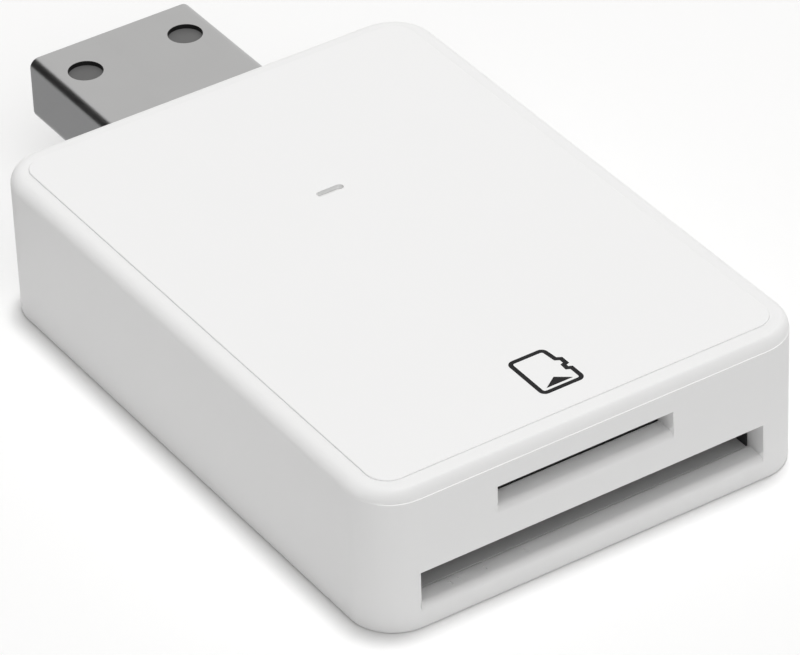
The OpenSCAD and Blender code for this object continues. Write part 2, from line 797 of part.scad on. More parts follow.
module microsd_socket_base() {
    color("dimgray") difference() {
        span([micro_x - micro_base_x, mouth_y, board_top],
             [micro_x + micro_base_x, micro_rear_y, micro_roof_z]);
        span([micro_x - micro_pass_x, mouth_y - overrun, micro_pass_z],
             [micro_x + micro_pass_x, micro_stop_y, micro_roof_z + overrun]);
        for (i = [0:micro_contacts - 1])
            translate([micro_first_x + i * micro_pitch, 0, 0])
                span([-micro_strip_w / 2 - play, micro_root_y - root_gap, board_top - overrun],
                     [micro_strip_w / 2 + play, micro_bump_y + micro_tip_l + play, micro_pass_z + overrun]);
        microsd_contact_roots();
        span([micro_detect_x - root_gap - post_w, micro_stop_y - overrun, micro_leaf_z - play],
             [micro_detect_x + micro_detect_l + micro_detect_tip + play, micro_stop_y + micro_detect_pocket,
              micro_leaf_z + micro_leaf_h + play]);
        microsd_switch_posts();
    }
}

module microsd_socket_cover() {
    outer = micro_base_x + micro_sheet;
    top_z = micro_roof_z + micro_sheet;
    brake_x = brake_share * micro_card_w / 2;
    color("silver") difference() {
        span([micro_x - outer, mouth_y, board_top], [micro_x + outer, micro_rear_y, top_z]);
        span([micro_x - micro_base_x, mouth_y - overrun, board_top - overrun],
             [micro_x + micro_base_x, micro_rear_y + overrun, micro_roof_z]);
        for (side = [-1, 1])
            translate([micro_x + side * brake_x, mouth_y + brake_from_mouth, micro_roof_z - overrun / 2])
                brake_slits();
    }
}

// Place in the free field of the board, from shares of its width and length
function field_at(share) = [share[0] * 2 * board_x, field_y + share[1] * field_l, board_top];

module controller_chip() {
    color("black") translate(field_at(chip_share) + [-chip_w / 2, -chip_w / 2, chip_lift])
        cube([chip_w, chip_w, chip_h]);
}

// Gull wing lead that leaves a package side along X
module gull_lead(reach, foot, w, t, rise) {
    translate([0, -w / 2, 0]) {
        span([0, 0, rise - t], [reach - foot, w, rise]);
        span([reach - foot - t, 0, 0], [reach - foot, w, rise]);
        span([reach - foot - t, 0, 0], [reach, w, t]);
    }
}

module controller_leads() {
    color("silver") translate(field_at(chip_share))
        for (side = [0:3], i = [0:chip_leads - 1])
            rotate(90 * side) translate([chip_w / 2, (i - (chip_leads - 1) / 2) * lead_pitch, 0])
                gull_lead(lead_reach, lead_foot, lead_w, lead_t, chip_lift + chip_h / 2);
}

module crystal_can() {
    lid_l = crystal_l - 2 * crystal_lid_in;
    lid_w = crystal_w - 2 * crystal_lid_in;
    body = crystal_h - crystal_lid_h;
    color("silver") translate(field_at(crystal_share)) {
        translate([-crystal_l / 2, -crystal_w / 2, 0]) cube([crystal_l, crystal_w, body]);
        translate([-lid_l / 2, -lid_w / 2, 0]) cube([lid_l, lid_w, crystal_h]);
    }
}

module status_lamp() {
    resin_l = lamp_l - 2 * end_cap_l;
    color("lightyellow") translate([lamp_x - resin_l / 2, lamp_y - lamp_w / 2, board_top])
        cube([resin_l, lamp_w, lamp_h]);
}

module voltage_regulator() {
    color("black") translate(field_at(regulator_share) + [-regulator_l / 2, -regulator_w / 2, chip_lift])
        cube([regulator_l, regulator_w, regulator_h - chip_lift]);
}

module regulator_leads() {
    color("silver") translate(field_at(regulator_share)) {
        for (i = [-1:1])
            translate([i * regulator_pitch, 0, 0]) rotate(-90) translate([regulator_w / 2, 0, 0])
                gull_lead(regulator_lead_reach, lead_foot / 2, regulator_lead_w, lead_t, regulator_h / 2);
        for (i = [-1, 1])
            translate([i * regulator_pitch, 0, 0]) rotate(90) translate([regulator_w / 2, 0, 0])
                gull_lead(regulator_lead_reach, lead_foot / 2, regulator_lead_w, lead_t, regulator_h / 2);
    }
}

module small_body(at, h) {
    translate(at + [end_cap_l - small_l / 2, -small_w / 2, 0]) cube([small_l - 2 * end_cap_l, small_w, h]);
}

module end_caps(at, l, w, h) {
    for (side = [-1, 1])
        translate(at + [side * (l - end_cap_l) / 2 - end_cap_l / 2, -w / 2 - small_cap_over, 0])
            cube([end_cap_l, w + 2 * small_cap_over, h + small_cap_over]);
}

module capacitor_bodies() {
    color("peru")
        for (share = capacitor_shares)
            small_body(field_at(share), capacitor_h);
}

module resistor_bodies() {
    color("black")
        for (share = resistor_shares)
            small_body(field_at(share), resistor_h);
}

module chip_end_caps() {
    color("silver") {
        for (share = capacitor_shares)
            end_caps(field_at(share), small_l, small_w, capacitor_h);
        for (share = resistor_shares)
            end_caps(field_at(share), small_l, small_w, resistor_h);
        end_caps([lamp_x, lamp_y, board_top], lamp_l, lamp_w, lamp_h / 2);
    }
}

case_tub();
top_panel();
card_icon();
light_pipe();
usb_shell();
usb_insulator();
usb_contacts();
circuit_board();
sd_socket_base();
sd_socket_cover();
sd_contact_roots();
sd_contact_arms();
sd_detect_leaf();
sd_protect_leaf();
sd_switch_posts();
microsd_socket_base();
microsd_socket_cover();
microsd_contact_roots();
microsd_contact_arms();
microsd_detect_leaf();
microsd_switch_posts();
controller_chip();
controller_leads();
crystal_can();
status_lamp();
voltage_regulator();
regulator_leads();
capacitor_bodies();
resistor_bodies();
chip_end_caps();
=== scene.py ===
import json
import math
import bmesh
import bpy
from mathutils import Matrix, Vector


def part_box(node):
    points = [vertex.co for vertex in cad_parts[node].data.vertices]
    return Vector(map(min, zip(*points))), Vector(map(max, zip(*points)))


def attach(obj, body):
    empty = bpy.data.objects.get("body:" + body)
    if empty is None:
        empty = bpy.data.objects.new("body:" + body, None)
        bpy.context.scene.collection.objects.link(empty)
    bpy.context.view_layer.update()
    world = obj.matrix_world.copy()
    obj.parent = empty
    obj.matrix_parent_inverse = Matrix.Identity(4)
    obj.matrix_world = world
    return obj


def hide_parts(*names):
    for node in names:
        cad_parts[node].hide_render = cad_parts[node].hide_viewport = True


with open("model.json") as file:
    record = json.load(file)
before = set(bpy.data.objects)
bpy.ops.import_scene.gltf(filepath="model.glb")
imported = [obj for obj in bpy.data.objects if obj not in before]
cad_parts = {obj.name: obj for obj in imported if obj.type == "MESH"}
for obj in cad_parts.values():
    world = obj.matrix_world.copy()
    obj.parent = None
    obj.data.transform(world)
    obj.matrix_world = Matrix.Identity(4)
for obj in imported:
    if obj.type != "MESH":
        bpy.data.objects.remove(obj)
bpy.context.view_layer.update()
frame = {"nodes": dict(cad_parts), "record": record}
mm = 0.001
tiny = 1e-4  # in millimetres, as every piece is until it is finished
planeSlack = 10 * tiny  # a vertex this close to a plane lies in it
endMerge = 3 * tiny  # closes the short flat that rounding leaves at each end of a slot
solidMerge = 5 * tiny  # joins the vertices of a solid's mesh
alongShare = 0.1  # a face runs along an axis when its normal has a smaller share of it
sharpTurn, flatTurn = 1.0, 0.01  # in radians, between faces that meet in a corner or lie in one plane
shadeTurn = math.radians(50)  # a steeper edge is shaded sharp
sink = 0.02  # how far a part of a piece reaches into the next, so that no gap shows between them
print("frame loaded:", len(frame["nodes"]), "solids")


# Small helpers for shapes, all in millimetres

def solidBox(node):
    low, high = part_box(node)
    return low / mm, high / mm


def onlyFaces(geom):
    return [g for g in geom if isinstance(g, bmesh.types.BMFace)]


def edgesOf(faces):
    return list(dict.fromkeys(e for f in faces for e in f.edges))


def edgesWhere(bm, test):
    return [e for e in bm.edges if all(test(v.co) for v in e.verts)]


def cornerEdges(bm, test, turn=sharpTurn):
    return [e for e in edgesWhere(bm, test) if len(e.link_faces) == 2 and e.calc_face_angle(0) > turn]


def remove(bm, faces):
    bmesh.ops.delete(bm, geom=faces, context="FACES")


def place(bm, verts, move, turn=None):
    if turn:
        bmesh.ops.rotate(bm, verts=verts, cent=(0, 0, 0), matrix=turn)
    bmesh.ops.translate(bm, vec=move, verts=verts)


def roundedPlate(bm, width, length, radius, steps, move, turn=None):
    before = set(bm.faces)
    corners = bmesh.ops.create_grid(bm, x_segments=1, y_segments=1, size=0.5)["verts"]
    bmesh.ops.scale(bm, vec=(width, length, 1), verts=corners)
    bmesh.ops.bevel(bm, geom=corners, offset=radius, segments=steps, profile=0.5,
                    affect="VERTICES", offset_type="OFFSET", material=-1)
    face = next(f for f in bm.faces if f not in before)
    place(bm, list(face.verts), move, turn)
    return face


def pull(bm, faces, move, leave=()):
    # extrudes faces and removes what they leave behind, except the faces in leave
    made = bmesh.ops.extrude_face_region(bm, geom=faces)["geom"]
    bmesh.ops.translate(bm, vec=move, verts=[g for g in made if isinstance(g, bmesh.types.BMVert)])
    remove(bm, [f for f in faces if f not in leave])
    return onlyFaces(made)


def roundEdges(bm, edges, radius, steps):
    bmesh.ops.bevel(bm, geom=edges, offset=radius, segments=steps, profile=0.5,
                    affect="EDGES", offset_type="OFFSET", clamp_overlap=True, material=-1)


def splitFaces(bm, faces, axis, limit):
    # cuts faces along the plane axis = limit and returns all their parts
    across = Vector([float(k == axis) for k in range(3)])
    geom = [*faces, *edgesOf(faces), *dict.fromkeys(v for f in faces for v in f.verts)]
    return onlyFaces(bmesh.ops.bisect_plane(bm, geom=geom, dist=tiny, plane_co=across * limit,
                                            plane_no=across)["geom"])


def faceAt(bm, axis, level, point):
    # the smallest face in the plane axis = level whose box holds the point
    def holds(face, i):
        places = [v.co[i] for v in face.verts]
        if i == axis:
            return max(abs(one - level) for one in places) < planeSlack
        return min(places) - tiny <= point[i] <= max(places) + tiny

    return min((f for f in bm.faces if all(holds(f, i) for i in range(3))), key=lambda f: f.calc_area())


def cutWindow(bm, axis, level, low, high):
    # splits a flat face along a rectangle and returns the face inside the rectangle
    face = faceAt(bm, axis, level, [(a + b) / 2 for a, b in zip(low, high)])
    for i in range(3):
        if i != axis:
            for side, limit in ((1, low[i]), (-1, high[i])):
                parts = splitFaces(bm, [face], i, limit)
                face = max(parts, key=lambda f: side * f.calc_center_median()[i])
    return face


def tunnel(bm, axis, levels, low, high, radius, steps):
    # an opening with rounded corners through a wall, from one of its faces to the other
    faces = [cutWindow(bm, axis, level, low, high) for level in levels]
    rims = edgesOf(faces)
    remove(bm, faces)
    walls = bmesh.ops.bridge_loops(bm, edges=rims)["faces"]
    depth = abs(levels[1] - levels[0])
    corners = [e for e in edgesOf(walls) if abs(e.verts[0].co[axis] - e.verts[1].co[axis]) > depth / 2]
    roundEdges(bm, corners, radius, steps)


def bar(bm, profile, y, length):
    # a bar along the plug, drawn from its outline in x and z
    corners = [bm.verts.new((x, y, z)) for x, z in profile]
    outline = [bm.edges.new(pair) for pair in zip(corners, corners[1:] + corners[:1])]
    end = bmesh.ops.edgeloop_fill(bm, edges=outline)["faces"]
    pull(bm, end, (0, length, 0), leave=end)


def finishPiece(bm, name, look):
    bmesh.ops.remove_doubles(bm, verts=bm.verts, dist=tiny)
    bmesh.ops.recalc_face_normals(bm, faces=bm.faces)
    bmesh.ops.scale(bm, vec=(mm, mm, mm), verts=bm.verts)
    mesh = bpy.data.meshes.new(name)
    bm.to_mesh(mesh)
    bm.free()
    mesh.shade_smooth()
    mesh.set_sharp_from_angle(angle=shadeTurn)
    mesh.materials.append(finishes[look["slot"]])
    piece = bpy.data.objects.new(name, mesh)
    bpy.context.scene.collection.objects.link(piece)
    even = piece.modifiers.new("evenShade", "WEIGHTED_NORMAL")
    even.keep_sharp = True
    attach(piece, look.get("body", "reader"))
    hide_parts(*look["nodes"])
    print("made", name, len(mesh.polygons), "faces")


# Materials: every pattern reads Object coordinates, so that it stays on its piece

# scale and detail of each noise, and the range that most of its values lie in
patterns = {"flow": (70, 3), "patches": (400, 4), "clouds": (300, 4), "maskGloss": (500, 3),
            "inkGloss": (2500, 2), "floorTone": (6, 2), "cardTone": (20, 2)}
grainDetail, lineDetail = 3, 4
noiseRange, productRange = (0.3, 0.7), (0.1, 0.4)


def addNode(tree, kind, values, **settings):
    # each of the values is a plain one, or the socket that feeds this input
    made = tree.nodes.new(kind)
    for key, value in settings.items():
        setattr(made, key, value)
    for key, value in values.items():
        if isinstance(value, bpy.types.NodeSocket):
            tree.links.new(value, made.inputs[key])
        else:
            made.inputs[key].default_value = value
    return made


def startMaterial(name, values):
    material = bpy.data.materials.new(name)
    material.use_nodes = True
    tree = material.node_tree
    shader = tree.nodes["Principled BSDF"]
    for key, value in values.items():
        shader.inputs[key].default_value = value
    return material, tree, shader, addNode(tree, "ShaderNodeTexCoord", {}).outputs["Object"]


def noise(tree, where, scale, detail):
    return addNode(tree, "ShaderNodeTexNoise",
                   {"Vector": where, "Scale": scale, "Detail": detail}).outputs["Fac"]


def remap(tree, source, low, high, start=0.0, end=1.0):
    # carries the values between start and end over to those between low and high
    return addNode(tree, "ShaderNodeMapRange", {"Value": source, "From Min": start, "From Max": end,
                                                "To Min": low, "To Max": high}).outputs["Result"]


def combine(tree, operation, first, second):
    return addNode(tree, "ShaderNodeMath", {0: first, 1: second}, operation=operation).outputs[0]


def mixColours(tree, share, first, second):
    # first and second are colours, or the sockets that give them
    made = addNode(tree, "ShaderNodeMix", {"Factor": share}, data_type="RGBA")
    ends = [s for s in made.inputs if s.type == "RGBA"]
    for end, colour in zip(ends, (first, second)):
        if isinstance(colour, bpy.types.NodeSocket):
            tree.links.new(colour, end)
        else:
            end.default_value = (*colour, 1)
    return next(s for s in made.outputs if s.type == "RGBA")


def dress(tree, shader, look, shade, gloss, height):
    relief = addNode(tree, "ShaderNodeBump", {"Strength": look["strength"], "Distance": look["depth"],
                                              "Height": height}).outputs["Normal"]
    for key, source in (("Base Color", shade), ("Roughness", gloss), ("Normal", relief)):
        tree.links.new(source, shader.inputs[key])


def mouldedPlastic(name, look):
    # fine spark-eroded grain, broad flow shading, slightly uneven gloss
    values = {"IOR": 1.5, "Subsurface Radius": (0.001, 0.001, 0.001), "Subsurface Scale": 0.5}
    material, tree, shader, where = startMaterial(name, {**values, **look.get("values", {})})
    shade = mixColours(tree, noise(tree, where, *patterns["flow"]), look["colour"], look["second"])
    gloss = remap(tree, noise(tree, where, *patterns["patches"]), *look["rough"], *noiseRange)
    dress(tree, shader, look, shade, gloss, noise(tree, where, look["grain"], grainDetail))
    return material


def sheetMetal(name, look):
    # rolled sheet: long fine lines, with small cloudy stains in the gloss
    material, tree, shader, where = startMaterial(name, {"Metallic": 1.0, **look.get("values", {})})
    along = addNode(tree, "ShaderNodeMapping", {"Vector": where, "Scale": look["lines"]}).outputs["Vector"]
    lines = noise(tree, along, 1, lineDetail)
    clouds = noise(tree, where, *patterns["clouds"])
    gloss = remap(tree, combine(tree, "MULTIPLY", lines, clouds), *look["rough"], *productRange)
    dress(tree, shader, look, mixColours(tree, clouds, look["colour"], look["second"]), gloss, lines)
    return material


def laminateBoard(name, look):
    # solder mask over a woven core
    material, tree, shader, where = startMaterial(name, look["values"])
    threads = [addNode(tree, "ShaderNodeTexWave", {"Vector": where, **look["weave"]},
                       bands_direction=direction).outputs["Fac"] for direction in ("X", "Y")]
    woven = combine(tree, "MULTIPLY", *threads)
    gloss = remap(tree, noise(tree, where, *patterns["maskGloss"]), *look["rough"], *noiseRange)
    dress(tree, shader, look, mixColours(tree, woven, look["colour"], look["second"]), gloss, woven)
    return material


def printedInk(name, look):
    # pad printing: a dull film with fine speckles
    material, tree, shader, where = startMaterial(name, look["values"])
    speckles = noise(tree, where, look["speckle"], look["speckleDetail"])
    gloss = remap(tree, noise(tree, where, *patterns["inkGloss"]), *look["rough"], *noiseRange)
    dress(tree, shader, look, mixColours(tree, speckles, look["colour"], look["second"]), gloss,
          noise(tree, where, look["speckle"], look["reliefDetail"]))
    return material


plasticLooks = {
    "case_plastic": {"colour": (0.872, 0.872, 0.872), "second": (0.86, 0.86, 0.861), "rough": (0.46, 0.54),
                     "grain": 9000, "strength": 0.25, "depth": 3e-6, "values": {"Subsurface Weight": 0.15}},
    "panel_plastic": {"colour": (0.885, 0.885, 0.886), "second": (0.875, 0.875, 0.877), "rough": (0.42, 0.5),
                      "grain": 12000, "strength": 0.15, "depth": 2e-6},
    "pipe_plastic": {"colour": (0.8, 0.8, 0.79), "second": (0.76, 0.76, 0.75), "rough": (0.25, 0.35),
                     "grain": 4000, "strength": 0.1, "depth": 2e-6,
                     "values": {"Subsurface Weight": 0.4}},
    "insulator_plastic": {"colour": (0.12, 0.12, 0.12), "second": (0.105, 0.105, 0.105), "rough": (0.45, 0.6),
                          "grain": 6000, "strength": 0.3, "depth": 4e-6},
    "socket_plastic": {"colour": (0.02, 0.02, 0.022), "second": (0.032, 0.032, 0.034), "rough": (0.45, 0.65),
                       "grain": 5000, "strength": 0.4, "depth": 5e-6},
    "chip_plastic": {"colour": (0.013, 0.013, 0.014), "second": (0.024, 0.024, 0.025), "rough": (0.55, 0.75),
                     "grain": 7000, "strength": 0.6, "depth": 6e-6},
    "lamp_resin": {"colour": (0.86, 0.8, 0.42), "second": (0.8, 0.72, 0.3), "rough": (0.15, 0.25),
                   "grain": 3000, "strength": 0.15, "depth": 4e-6,
                   "values": {"Subsurface Weight": 0.3, "Subsurface Scale": 0.3}},
    "capacitor_ceramic": {"colour": (0.26, 0.14, 0.06), "second": (0.33, 0.19, 0.09), "rough": (0.5, 0.7),
                          "grain": 9000, "strength": 0.4, "depth": 4e-6},
    "resistor_ceramic": {"colour": (0.012, 0.012, 0.016), "second": (0.03, 0.03, 0.036), "rough": (0.3, 0.5),
                         "grain": 6000, "strength": 0.3, "depth": 3e-6},
}
metalLooks = {
    "plug_steel": {"colour": (0.46, 0.462, 0.468), "second": (0.445, 0.447, 0.453), "rough": (0.3, 0.35),
                   "lines": (3000, 120, 3000), "strength": 0.02, "depth": 2e-6},
    "socket_steel": {"colour": (0.75, 0.75, 0.75), "second": (0.68, 0.68, 0.68), "rough": (0.5, 0.6),
                     "lines": (5000, 200, 5000), "strength": 0.1, "depth": 2e-6,
                     "values": {"Metallic": 0.3}},
    "contact_gold": {"colour": (0.72, 0.47, 0.16), "second": (0.62, 0.4, 0.13), "rough": (0.2, 0.35),
                     "lines": (3000, 400, 3000), "strength": 0.1, "depth": 2e-6},
    "lead_tin": {"colour": (0.52, 0.52, 0.52), "second": (0.42, 0.42, 0.43), "rough": (0.3, 0.5),
                 "lines": (2500, 2500, 2500), "strength": 0.3, "depth": 4e-6},
    "crystal_metal": {"colour": (0.55, 0.52, 0.44), "second": (0.48, 0.45, 0.38), "rough": (0.25, 0.4),
                      "lines": (5000, 300, 3000), "strength": 0.1, "depth": 2e-6},
}
boardLook = {"colour": (0.006, 0.075, 0.022), "second": (0.01, 0.1, 0.032), "rough": (0.25, 0.4),
             "weave": {"Scale": 900, "Distortion": 0.6, "Detail": 1.0}, "strength": 0.3, "depth": 5e-6,
             "values": {"Coat Weight": 0.3}}
inkLook = {"colour": (0.006, 0.006, 0.007), "second": (0.012, 0.012, 0.013), "rough": (0.45, 0.6),
           "speckle": 14000, "speckleDetail": 5, "reliefDetail": 2, "strength": 0.2, "depth": 2e-6,
           "values": {"Specular IOR Level": 0.15}}

finishes = {name: mouldedPlastic(name, look) for name, look in plasticLooks.items()}
finishes.update({name: sheetMetal(name, look) for name, look in metalLooks.items()})
finishes["board_laminate"] = laminateBoard("board_laminate", boardLook)
finishes["print_ink"] = printedInk("print_ink", inkLook)
for part in frame["record"]["subparts"]:
    carried = frame["nodes"][part["node"]]
    carried.data.materials.clear()
    carried.data.materials.append(finishes[part["material_slot"]])
print("materials made:", len(finishes))


# The tub

case = {"nodes": ["case_tub"], "slot": "case_plastic",
        "corner": 3.1, "cornerSteps": 22, "topRound": 0.85, "topSteps": 9, "footRound": 0.2, "footSteps": 4,
        "frontStep": 0.055, "frontLean": 0.42, "frontDepth": 0.36, "ledge": 0.02, "rimSlack": 0.01,
        "seamInset": 1.3, "seamCorner": 1.5, "seatDepth": 1.02, "seamLip": 0.02, "lipSteps": 2,
        "wall": 1.5, "frontWall": 1.6, "floor": 1.4, "pocketTop": 6.2,
        "mouths": (((-12.4, 1.72), (12.0, 4.07)), ((-6.95, 6.36), (5.45, 7.86))), "cornerDip": 0.02,
        "mouthRound": 0.05, "sillRound": 0.45, "sillSteps": 8, "sillBack": 0.28, "backSteps": 3,
        "marks": (0.102, 0.126, 0.2, 0.316), "markWidth": 0.12, "markDepth": 0.06, "markMargin": 0.62,
        "plugHole": ((-6.15, 3.6), (6.15, 8.3)), "plugHoleRound": 0.9, "plugHoleSteps": 8,
        "hooks": (-0.3, 0.12), "hookRoom": (3.4, 1.4, 0.5), "hookLevel": 7.68,
        "boss": (11.7, 10.75), "bossRadius": 2.0, "bossTop": 5.1, "pegRadius": 0.8, "pegTop": 8.2,
        "bossSteps": 40}


def stepFront(bm, shape, front, width, crown):
    # draws the rounded rim back from the flat front, leans it, and fades both out round the corners
    centreX, centreY = width / 2 - shape["corner"], front + shape["corner"]
    inside = shape["corner"] - shape["topRound"]
    lean = shape["frontLean"]
    for v in bm.verts:
        reach = math.hypot(max(abs(v.co.x) - centreX, 0), v.co.y - centreY)
        out, rise = (reach - inside) / shape["topRound"], (v.co.z - crown) / shape["topRound"]
        if v.co.z > crown - tiny and v.co.y < centreY and out > -shape["rimSlack"]:
            share = (1 - lean) * out + lean * (1 - rise)
            drawn = shape["corner"] - shape["frontStep"] - shape["frontDepth"] * (1 - share)
            v.co.y = centreY + (v.co.y - centreY) * drawn / reach


def cutMouth(bm, shape, front, innerFront, low, high):
    # an opening through the front wall, whose left end may lie in the rounded corner
    reach = front + shape["cornerDip"]
    faces = [f for f in bm.faces if abs(f.normal.z) < alongShare
             and all(v.co.y < reach and v.co.z > shape["footRound"] - tiny for v in f.verts)]
    for axis, limit in ((0, low[0]), (0, high[0]), (2, low[1]), (2, high[1])):
        faces = splitFaces(bm, faces, axis, limit)
    middles = [(f, f.calc_center_median()) for f in faces]
    faces = [f for f, m in middles if low[0] < m.x < high[0] and low[1] < m.z < high[1]]
    # the corner's upright edges run on through the wall, so both its faces are split at them
    breaks = sorted({v.co.x for f in faces for v in f.verts})
    breaks = [x for x, before in zip(breaks[1:], breaks) if x - before > tiny and x < high[0] - tiny]
    far = pull(bm, faces, (0, innerFront - front, 0))
    for v in {v for f in far for v in f.verts}:
        v.co.y = innerFront
    remove(bm, far)
    inner = [cutWindow(bm, 1, innerFront, (low[0], innerFront, low[1]), (high[0], innerFront, high[1]))]
    for limit in breaks:
        inner = splitFaces(bm, inner, 0, limit)
    remove(bm, inner)
    bmesh.ops.remove_doubles(bm, verts=[v for v in bm.verts if abs(v.co.y - innerFront) < tiny], dist=tiny)

    def within(co, bottom, top):
        return low[0] - tiny < co.x < high[0] + tiny and bottom - tiny < co.z < top + tiny

    sill = cornerEdges(bm, lambda co: co.y < reach and within(co, low[1], low[1]))
    roundEdges(bm, sill, shape["sillRound"], shape["sillSteps"])
    lips = cornerEdges(bm, lambda co: co.y < reach and within(co, low[1] - shape["sillRound"], high[1]))
    roundEdges(bm, lips, shape["mouthRound"], shape["lipSteps"])
    back = cornerEdges(bm, lambda co: abs(co.y - innerFront) < tiny and within(co, low[1], low[1]))
    roundEdges(bm, back, shape["sillBack"], shape["backSteps"])


def hollowTub(bm, shape, rim, seat, innerX, innerFront, innerRear):
    # the hollow inside the panel's seat, whose edges are the rim, with square front corners below the board
    curve = shape["corner"] - shape["wall"]
    opening = roundedPlate(bm, 2 * innerX, innerRear - innerFront, curve, shape["cornerSteps"],
                           (0, (innerRear + innerFront) / 2, seat))
    rim += list(opening.edges)
    waist = pull(bm, [opening], (0, 0, shape["pocketTop"] - seat))
    bmesh.ops.triangle_fill(bm, edges=rim, use_beauty=True)
    cornerFaces = []
    for side in (-1, 1):
        corner = bm.verts.new((side * innerX, innerFront, shape["pocketTop"]))
        arc = [v for v in waist[0].verts
               if side * v.co.x > innerX - curve - tiny and v.co.y < innerFront + curve + tiny]
        around = [e for e in waist[0].edges if all(v in arc for v in e.verts)]
        around += [bm.edges.new((corner, pick(arc, key=lambda v: v.co.y))) for pick in (min, max)]
        cornerFaces += bmesh.ops.edgeloop_fill(bm, edges=around)["faces"]
    pull(bm, waist + cornerFaces, (0, 0, shape["floor"] - shape["pocketTop"]), leave=cornerFaces)


def buildCase(shape):
    low, high = solidBox("case_tub")
    width, length, height = high.x - low.x, high.y - low.y, high.z
    front, rear, middle = low.y, high.y, (low.y + high.y) / 2
    crown, seat = height - shape["topRound"], height - shape["seatDepth"]
    innerX, innerFront = width / 2 - shape["wall"], front + shape["frontWall"]
    innerRear = rear - shape["wall"]
    bm = bmesh.new()
    base = roundedPlate(bm, width, length, shape["corner"], shape["cornerSteps"], (0, middle, 0))
    pull(bm, [base], (0, 0, height), leave=[base])
    roundEdges(bm, edgesWhere(bm, lambda co: co.z < tiny), shape["footRound"], shape["footSteps"])
    roundEdges(bm, edgesWhere(bm, lambda co: co.z > height - tiny), shape["topRound"], shape["topSteps"])
    splitFaces(bm, list(bm.faces), 2, crown - shape["ledge"])
    stepFront(bm, shape, front, width, crown)

    # the seat of the panel, then the hollow below it
    top = faceAt(bm, 2, height, (0, middle, height))
    brim = list(top.edges)
    remove(bm, [top])
    opening = roundedPlate(bm, width - 2 * shape["seamInset"], length - 2 * shape["seamInset"],
                           shape["seamCorner"], shape["cornerSteps"], (0, middle, height))
    bmesh.ops.triangle_fill(bm, edges=brim + list(opening.edges), use_beauty=True)
    seatFace = pull(bm, [opening], (0, 0, seat - height))[0]
    rim = list(seatFace.edges)
    remove(bm, [seatFace])
    hollowTub(bm, shape, rim, seat, innerX, innerFront, innerRear)

    # the flat parts of each end wall become one face, but the step in front keeps its edge
    bmesh.ops.recalc_face_normals(bm, faces=bm.faces)
    ends = edgesWhere(bm, lambda co: co.z < seat + tiny
                      and min(abs(co.y - innerFront), abs(co.y - innerRear)) < tiny)
    step = edgesWhere(bm, lambda co: abs(co.z - shape["pocketTop"]) < tiny and co.y < middle)
    flat = [e for e in ends if e not in step and len(e.link_faces) == 2 and e.calc_face_angle(0) < flatTurn]
    bmesh.ops.dissolve_edges(bm, edges=flat, use_verts=False)

    # both mouths, and shallow marks across the floor of the wide one
    for lowSide, highSide in shape["mouths"]:
        cutMouth(bm, shape, front, innerFront, lowSide, highSide)
    wideLow, wideHigh = shape["mouths"][0]
    for share in shape["marks"]:
        left = wideLow[0] + share * (wideHigh[0] - wideLow[0])
        mark = cutWindow(bm, 2, wideLow[1], (left, front + shape["markMargin"], wideLow[1]),
                         (left + shape["markWidth"], innerFront - shape["markMargin"], wideLow[1]))
        pull(bm, [mark], (0, 0, -shape["markDepth"]))

    # the opening for the plug, the pockets of the hooks, and the seam's lip
    holeLow, holeHigh = shape["plugHole"]
    tunnel(bm, 1, (rear, innerRear), (holeLow[0], rear, holeLow[1]), (holeHigh[0], rear, holeHigh[1]),
           shape["plugHoleRound"], shape["plugHoleSteps"])
    halfY, halfZ, depth = shape["hookRoom"][0] / 2, shape["hookRoom"][1] / 2, shape["hookRoom"][2]
    for side in (-1, 1):
        for share in shape["hooks"]:
            x, y, z = side * innerX, middle + share * length, shape["hookLevel"]
            pocket = cutWindow(bm, 0, x, (x, y - halfY, z - halfZ), (x, y + halfY, z + halfZ))
            pull(bm, [pocket], (side * depth, 0, 0))
    lips = [e for e in edgesWhere(bm, lambda co: abs(co.z - height) < tiny)
            if any(f.calc_center_median().z < height - tiny and abs(f.normal.z) < alongShare
                   for f in e.link_faces)]
    roundEdges(bm, lips, shape["seamLip"], shape["lipSteps"])

    for side in (-1, 1):
        for radius, top in ((shape["bossRadius"], shape["bossTop"]), (shape["pegRadius"], shape["pegTop"])):
            made = bmesh.ops.create_cone(bm, cap_ends=True, segments=shape["bossSteps"], radius1=radius,
                                         radius2=radius, depth=top - shape["floor"] + 2 * tiny)["verts"]
            place(bm, made, (side * shape["boss"][0], shape["boss"][1], (top + shape["floor"]) / 2))
    return bm


# The panel let into the rim, with its hooks and posts

panel = {"nodes": ["top_panel"], "slot": "panel_plastic",
         "inset": 1.306, "corner": 1.494, "cornerSteps": 20, "thickness": 1.1,
         "edgeRound": 0.075, "edgeSteps": 3,
         "lampSlot": (1.9, 0.55), "lampPlace": (-0.1, 0.75), "slotSteps": 10,
         "slotRound": 0.03, "lipSteps": 2,
         "postRadius": 1.7, "bore": 0.82, "boreTop": 8.5, "postFoot": 5.9, "postSteps": 40,
         "hookWidth": 3.0, "hookX": 13.9,
         "hookProfile": ((-0.9, sink), (-0.9, -2.1), (-0.1, -2.1), (0.35, -1.8), (0.35, -1.5), (-0.1, -1.5),
                         (-0.1, sink))}


def lampWindow(bm, shape, levels):
    slotLength, slotWidth = shape["lampSlot"]
    x, y = shape["lampPlace"]
    tunnel(bm, 2, levels, (x - slotLength / 2, y - slotWidth / 2, levels[0]),
           (x + slotLength / 2, y + slotWidth / 2, levels[0]), slotWidth / 2 - tiny, shape["slotSteps"])
    bmesh.ops.remove_doubles(bm, verts=bm.verts, dist=endMerge)
    lips = edgesWhere(bm, lambda co: abs(co.z - levels[0]) < tiny and abs(co.x - x) < slotLength
                      and abs(co.y - y) < slotWidth)
    roundEdges(bm, lips, shape["slotRound"], shape["lipSteps"])


